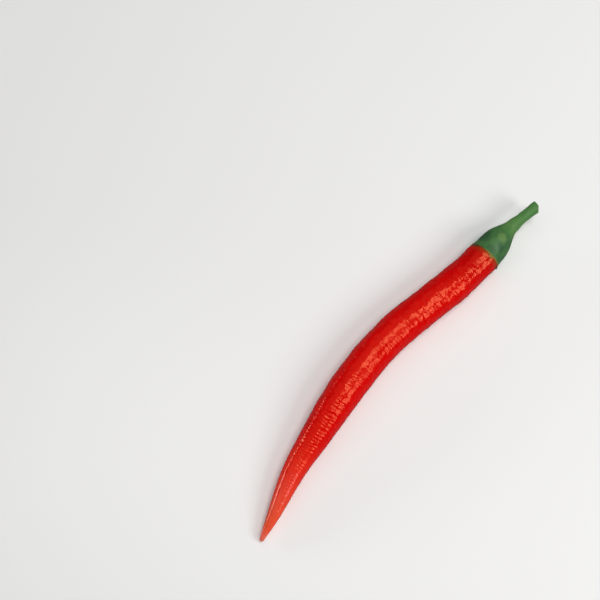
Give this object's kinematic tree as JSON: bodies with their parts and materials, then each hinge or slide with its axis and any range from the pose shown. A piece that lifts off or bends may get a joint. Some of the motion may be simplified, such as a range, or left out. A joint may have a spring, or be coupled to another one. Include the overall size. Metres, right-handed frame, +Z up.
{
  "type": "long red chilli pepper",
  "caption": "Long, slender fresh chilli lying on its side: a tapering, gently bowed red pod with a green calyx and a short cut stem.",
  "frame": {"origin": "under the middle of the bounding box, on the surface that the pod lies on", "axes": "+X from the pod's tip towards the cut end of the stem, +Y towards the outside of the bow, +Z up"},
  "size_m": [0.1724, 0.0226, 0.0138],
  "materials": {
    "pod_skin": "smooth waxy skin, glossy, with fine wrinkles across it",
    "calyx_green": "satin leaf, a little bloom at the edges",
    "stem_green": "satin stalk, lightly ridged"
  },
  "bodies": {
    "root": {"pod": "pod_skin", "calyx": "calyx_green", "stem": "stem_green"}
  },
  "joints": []
}
